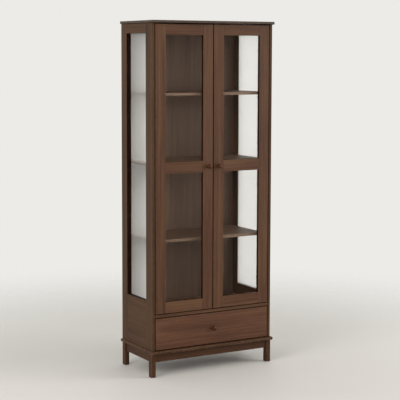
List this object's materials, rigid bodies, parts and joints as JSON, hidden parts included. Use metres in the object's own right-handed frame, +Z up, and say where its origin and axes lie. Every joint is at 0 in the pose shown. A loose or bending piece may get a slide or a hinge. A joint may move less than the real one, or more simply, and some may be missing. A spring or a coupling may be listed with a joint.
{
  "type": "china cabinet",
  "caption": "Tall narrow wooden display cabinet on a low legged base, with glazed doors over a wide drawer, glazed sides and shelves inside.",
  "frame": {"origin": "on the floor, under the middle of the base plate, which is also the middle of the footprint", "axes": "+Z up, +X to the right along the front as seen from the front, -Y out of the front, so the doors and drawer open towards -Y"},
  "size_m": [0.792, 0.4, 1.97],
  "materials": {
    "door_wood": "dark brown stain under satin varnish, fine straight grain",
    "side_wood": "dark brown stain under satin varnish, fine straight grain",
    "plate_wood": "dark brown stain under satin varnish",
    "drawer_wood": "dark red-brown stain under satin varnish, grain along the front",
    "inside_wood": "dark brown stain, matte",
    "knob_wood": "turned wood, dark stain, semi-gloss",
    "back_board": "thin stained board, matte",
    "drawer_box_wood": "plain pale wood, unvarnished",
    "pin_steel": "plain steel",
    "catch_plastic": "dark moulded plastic",
    "clear_glass": "clear float glass",
    "satin_glass": "satin frosted glass"
  },
  "bodies": {
    "carcass": {"top_plate": "plate_wood", "base_plate": "plate_wood", "leg_front_left": "plate_wood", "leg_front_right": "plate_wood", "leg_rear_left": "plate_wood", "leg_rear_right": "plate_wood", "front_apron": "plate_wood", "rear_apron": "plate_wood", "left_apron": "plate_wood", "right_apron": "plate_wood", "left_front_stile": "side_wood", "left_rear_stile": "side_wood", "left_side_top_rail": "side_wood", "left_side_lower_panel": "side_wood", "left_side_glass": "satin_glass", "right_front_stile": "side_wood", "right_rear_stile": "side_wood", "right_side_top_rail": "side_wood", "right_side_lower_panel": "side_wood", "right_side_glass": "satin_glass", "divider_rail": "door_wood", "cabinet_floor": "inside_wood", "back_panel": "back_board", "top_shelf": "inside_wood", "middle_shelf": "inside_wood", "bottom_shelf": "inside_wood", "top_shelf_wire_left": "pin_steel", "top_shelf_wire_right": "pin_steel", "bottom_shelf_wire_left": "pin_steel", "bottom_shelf_wire_right": "pin_steel", "left_drawer_runner": "drawer_box_wood", "right_drawer_runner": "drawer_box_wood", "door_catch": "catch_plastic"},
    "left_door": {"left_door_hinge_stile": "door_wood", "left_door_meeting_stile": "door_wood", "left_door_top_rail": "door_wood", "left_door_middle_rail": "door_wood", "left_door_bottom_rail": "door_wood", "left_door_upper_glass": "clear_glass", "left_door_lower_glass": "clear_glass", "left_door_knob": "knob_wood", "left_door_top_pivot": "pin_steel", "left_door_bottom_pivot": "pin_steel"},
    "right_door": {"right_door_hinge_stile": "door_wood", "right_door_meeting_stile": "door_wood", "right_door_top_rail": "door_wood", "right_door_middle_rail": "door_wood", "right_door_bottom_rail": "door_wood", "right_door_upper_glass": "clear_glass", "right_door_lower_glass": "clear_glass", "right_door_knob": "knob_wood", "right_door_top_pivot": "pin_steel", "right_door_bottom_pivot": "pin_steel"},
    "drawer": {"drawer_front": "drawer_wood", "drawer_left_side": "drawer_box_wood", "drawer_right_side": "drawer_box_wood", "drawer_back": "drawer_box_wood", "drawer_bottom": "drawer_box_wood", "drawer_knob": "knob_wood"}
  },
  "joints": [
    {"name": "left_door_pivot", "type": "hinge", "parent": "carcass", "child": "left_door", "pos_m": [-0.3595, -0.1705, 1.1525], "axis": [0, 0, -1], "range_deg": [0, 105]},
    {"name": "right_door_pivot", "type": "hinge", "parent": "carcass", "child": "right_door", "pos_m": [0.3595, -0.1705, 1.1525], "axis": [0, 0, 1], "range_deg": [0, 105]},
    {"name": "drawer_slide", "type": "slide", "parent": "carcass", "child": "drawer", "axis": [0, -1, 0], "range_m": [0, 0.25]}
  ]
}
